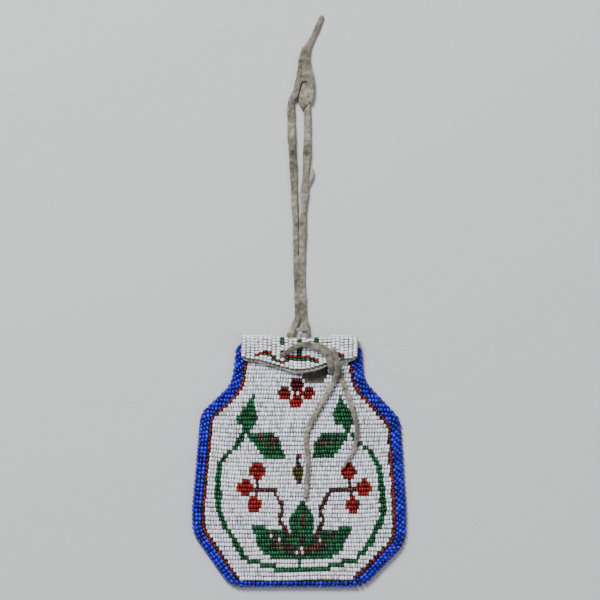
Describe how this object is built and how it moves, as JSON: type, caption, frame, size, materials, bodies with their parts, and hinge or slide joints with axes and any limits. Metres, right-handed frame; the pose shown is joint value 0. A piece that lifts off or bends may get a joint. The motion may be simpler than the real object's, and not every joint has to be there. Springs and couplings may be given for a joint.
{
  "type": "beaded medicine bag",
  "caption": "Small hide bag with a folded flap, floral beadwork on a white beaded front, rolled blue edge beading, a lace tie and a long lace hanger.",
  "frame": {"origin": "under the middle of the bag without its laces, on the plane that its back lies on", "axes": "+Y from the base towards the flap's fold and the hanger, +Z out of the beaded front, +X to the right when the front is looked at"},
  "size_m": [0.0924, 0.2463, 0.0117],
  "materials": {
    "hide": "smoked hide, suede face",
    "lace": "hand-cut hide lace, worn",
    "white_beads": "opaque chalk-white glass beads",
    "blue_beads": "translucent cobalt glass beads",
    "brick_beads": "brick red glass beads",
    "red_beads": "dark red glass beads",
    "berry_beads": "red glass beads",
    "green_beads": "dark green glass beads",
    "olive_beads": "olive glass beads",
    "dark_beads": "near-black glass beads"
  },
  "bodies": {
    "root": {"back_panel": "hide", "front_panel": "hide", "field_beads": "white_beads", "flower": "red_beads", "upper_leaf_left": "green_beads", "upper_leaf_right": "green_beads", "lower_leaf_left": "green_beads", "lower_leaf_right": "green_beads", "plant_leaf_centre": "green_beads", "plant_leaf_left": "green_beads", "plant_leaf_right": "green_beads", "berry_left_upper": "berry_beads", "berry_left_outer": "berry_beads", "berry_left_lower": "berry_beads", "berry_right_upper": "berry_beads", "berry_right_outer": "berry_beads", "berry_right_lower": "berry_beads", "berry_stem_left": "dark_beads", "berry_stem_right": "dark_beads", "acorn": "olive_beads", "acorn_stem": "dark_beads", "vine": "green_beads", "flap_beads": "white_beads", "flap_scallop_red_left": "brick_beads", "flap_scallop_red_right": "brick_beads", "flap_scallop_green_left": "green_beads", "flap_scallop_green_middle": "green_beads", "flap_bar_left": "green_beads", "flap_bar_middle": "green_beads", "flap_bar_right": "green_beads", "flap_stem": "green_beads", "blue_edging": "blue_beads", "red_edge_left": "brick_beads", "red_edge_right": "brick_beads", "hanger_left": "lace", "hanger_right": "lace", "hanger_join": "lace", "hanger_tongue": "lace", "tie_arc": "lace", "tie_knot": "lace", "tie_tail_left": "lace", "tie_tail_right": "lace"}
  },
  "joints": []
}
